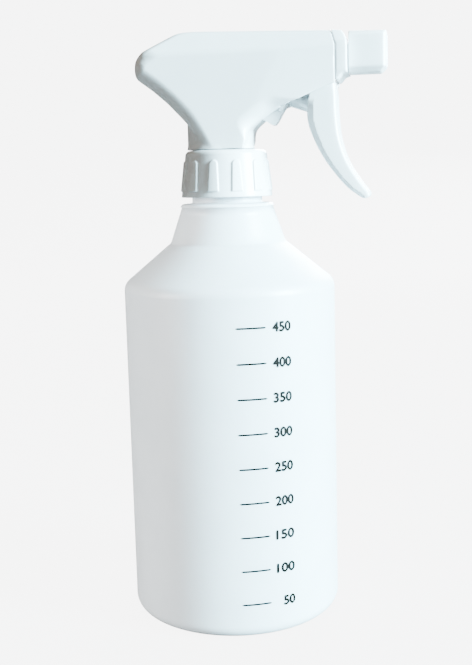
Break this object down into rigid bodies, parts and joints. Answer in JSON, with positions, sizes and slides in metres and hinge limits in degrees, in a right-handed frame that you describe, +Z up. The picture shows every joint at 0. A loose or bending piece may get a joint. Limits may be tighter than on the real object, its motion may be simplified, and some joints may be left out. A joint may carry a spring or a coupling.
{
  "type": "trigger spray bottle",
  "caption": "Round milky plastic bottle with volume marks, ribbed screw closure and a trigger pump head with a square turning nozzle, for spraying cleaning liquid.",
  "frame": {"origin": "centre of the bottle's standing ring, on the shelf", "axes": "+Z up along the bottle's axis, +X the way the nozzle points"},
  "size_m": [0.0936, 0.075, 0.2052],
  "materials": {
    "milk_plastic": "translucent milky blow-moulded polyethylene, soft satin",
    "white_plastic": "white moulded polypropylene, satin gloss",
    "tube_plastic": "clear to milky extruded tube",
    "seal_rubber": "soft grey elastomer",
    "steel": "stainless steel"
  },
  "bodies": {
    "bottle": {"bottle": "milk_plastic"},
    "head": {"pump_body": "white_plastic", "shroud": "white_plastic", "front_bezel": "white_plastic", "neck_gasket": "seal_rubber", "tube_retainer": "white_plastic", "dip_tube": "tube_plastic", "ball_seat": "seal_rubber", "bore_plug": "white_plastic", "outlet_spring": "steel", "return_spring": "steel", "spinner": "white_plastic", "nozzle_seal": "seal_rubber"},
    "closure": {"screw_cap": "white_plastic"},
    "trigger": {"trigger": "white_plastic"},
    "piston": {"piston": "white_plastic", "piston_seal": "seal_rubber"},
    "nozzle": {"nozzle_cap": "white_plastic", "orifice_insert": "white_plastic"},
    "inlet_ball": {"inlet_ball": "steel"},
    "outlet_valve": {"outlet_valve": "white_plastic"}
  },
  "joints": [
    {"name": "head_rise", "type": "slide", "parent": "bottle", "child": "head", "axis": [0, 0, 1], "range_m": [0, 0.00634]},
    {"name": "closure_turn", "type": "hinge", "parent": "head", "child": "closure", "pos_m": [0, 0, 0.157], "axis": [0, 0, 1], "range_deg": [0, 540]},
    {"name": "trigger_pull", "type": "hinge", "parent": "head", "child": "trigger", "pos_m": [0.0292, 0, 0.199], "axis": [0, 1, 0], "range_deg": [0, 20], "stiffness_Nm_per_rad": 0.3, "springref_deg": -25.78},
    {"name": "piston_stroke", "type": "slide", "parent": "head", "child": "piston", "axis": [-0.8387, 0, 0.5446], "range_m": [0, 0.0061], "deforming": ["return_spring"]},
    {"name": "nozzle_turn", "type": "hinge", "parent": "head", "child": "nozzle", "pos_m": [0.048, 0, 0.1964], "axis": [1, 0, 0], "continuous": true},
    {"name": "inlet_lift", "type": "slide", "parent": "head", "child": "inlet_ball", "axis": [0, 0, 1], "range_m": [0, 0.0012]},
    {"name": "outlet_lift", "type": "slide", "parent": "head", "child": "outlet_valve", "axis": [0, 0, 1], "range_m": [0, 0.001], "stiffness_N_per_m": 60, "springref_m": -0.003, "deforming": ["outlet_spring"]}
  ],
  "couplings": [
    {"joint": "closure_turn", "follows": "head_rise", "rad_per_m": 1485.4},
    {"joint": "piston_stroke", "follows": "trigger_pull", "m_per_rad": 0.01734}
  ]
}
